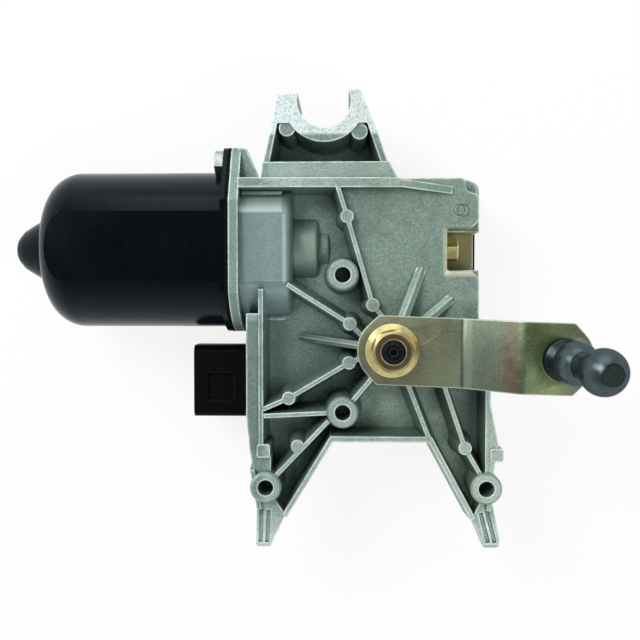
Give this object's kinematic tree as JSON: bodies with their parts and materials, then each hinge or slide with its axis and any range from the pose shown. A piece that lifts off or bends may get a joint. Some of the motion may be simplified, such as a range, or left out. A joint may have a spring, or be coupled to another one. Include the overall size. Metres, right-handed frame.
{
  "type": "wiper motor",
  "caption": "Windscreen wiper gear motor: black can motor with worm drive in a ribbed die-cast housing, crank arm with a double ball stud, bolt bosses and a grommet saddle.",
  "frame": {"origin": "on the output shaft's axis, at the level of the mounting bosses' faces", "axes": "+Z out along the output shaft, +X along the armature from the can's nose towards the thrust screw, +Y towards the grommet saddle"},
  "size_m": [0.204, 0.163, 0.1107],
  "materials": {
    "die_cast_aluminium": "as cast, satin grey",
    "black_plastic": "moulded, matt black",
    "black_rubber": "matt",
    "zinc_steel": "bright zinc plated",
    "board_laminate": "solder resist green",
    "contact_brass": "bright",
    "bush_bronze": "sintered",
    "plain_steel": "ground",
    "yellow_zinc": "yellow zinc plated steel",
    "yellow_zinc_arm": "olive zinc dichromate on steel",
    "gloss_black_paint": "gloss black",
    "magnet_ferrite": "ferrite",
    "card_phenolic": "phenolic",
    "brush_carbon": "copper graphite",
    "gear_nylon": "natural nylon",
    "dark_steel": "dark phosphated steel",
    "winding_copper": "enamelled copper"
  },
  "bodies": {
    "housing": {"gear_housing": "die_cast_aluminium", "rear_cover": "black_plastic", "cover_seal": "black_rubber", "cover_screws": "zinc_steel", "circuit_board": "board_laminate", "connector_shell": "black_plastic", "connector_pins": "contact_brass", "park_contacts": "contact_brass", "lower_bush": "bush_bronze", "upper_bush": "bush_bronze", "inner_washer": "plain_steel", "outer_washer": "plain_steel", "bearing_outer_ring": "plain_steel", "bearing_retainer": "plain_steel", "thrust_screw": "yellow_zinc", "motor_can": "gloss_black_paint", "can_gasket": "black_rubber", "can_screws": "zinc_steel", "rear_bush": "bush_bronze", "upper_magnet": "magnet_ferrite", "lower_magnet": "magnet_ferrite", "magnet_clips": "plain_steel", "brush_card": "card_phenolic", "brushes": "brush_carbon", "brush_springs": "contact_brass"},
    "crank": {"worm_wheel": "gear_nylon", "park_ring": "contact_brass", "output_shaft": "dark_steel", "retaining_clip": "plain_steel", "crank_arm": "yellow_zinc_arm", "crank_nut": "yellow_zinc", "ball_stud": "dark_steel"},
    "armature": {"armature_shaft": "plain_steel", "lamination_stack": "plain_steel", "windings": "winding_copper", "commutator": "winding_copper", "bearing_inner_ring": "plain_steel", "thrust_ball": "plain_steel"}
  },
  "joints": [
    {"name": "crank_turn", "type": "hinge", "parent": "housing", "child": "crank", "pos_m": [0, 0, 0], "axis": [0, 0, 1], "continuous": true},
    {"name": "armature_spin", "type": "hinge", "parent": "housing", "child": "armature", "pos_m": [0, 0.0355, -0.026], "axis": [1, 0, 0], "continuous": true}
  ],
  "couplings": [
    {"joint": "armature_spin", "follows": "crank_turn", "ratio": 53}
  ]
}
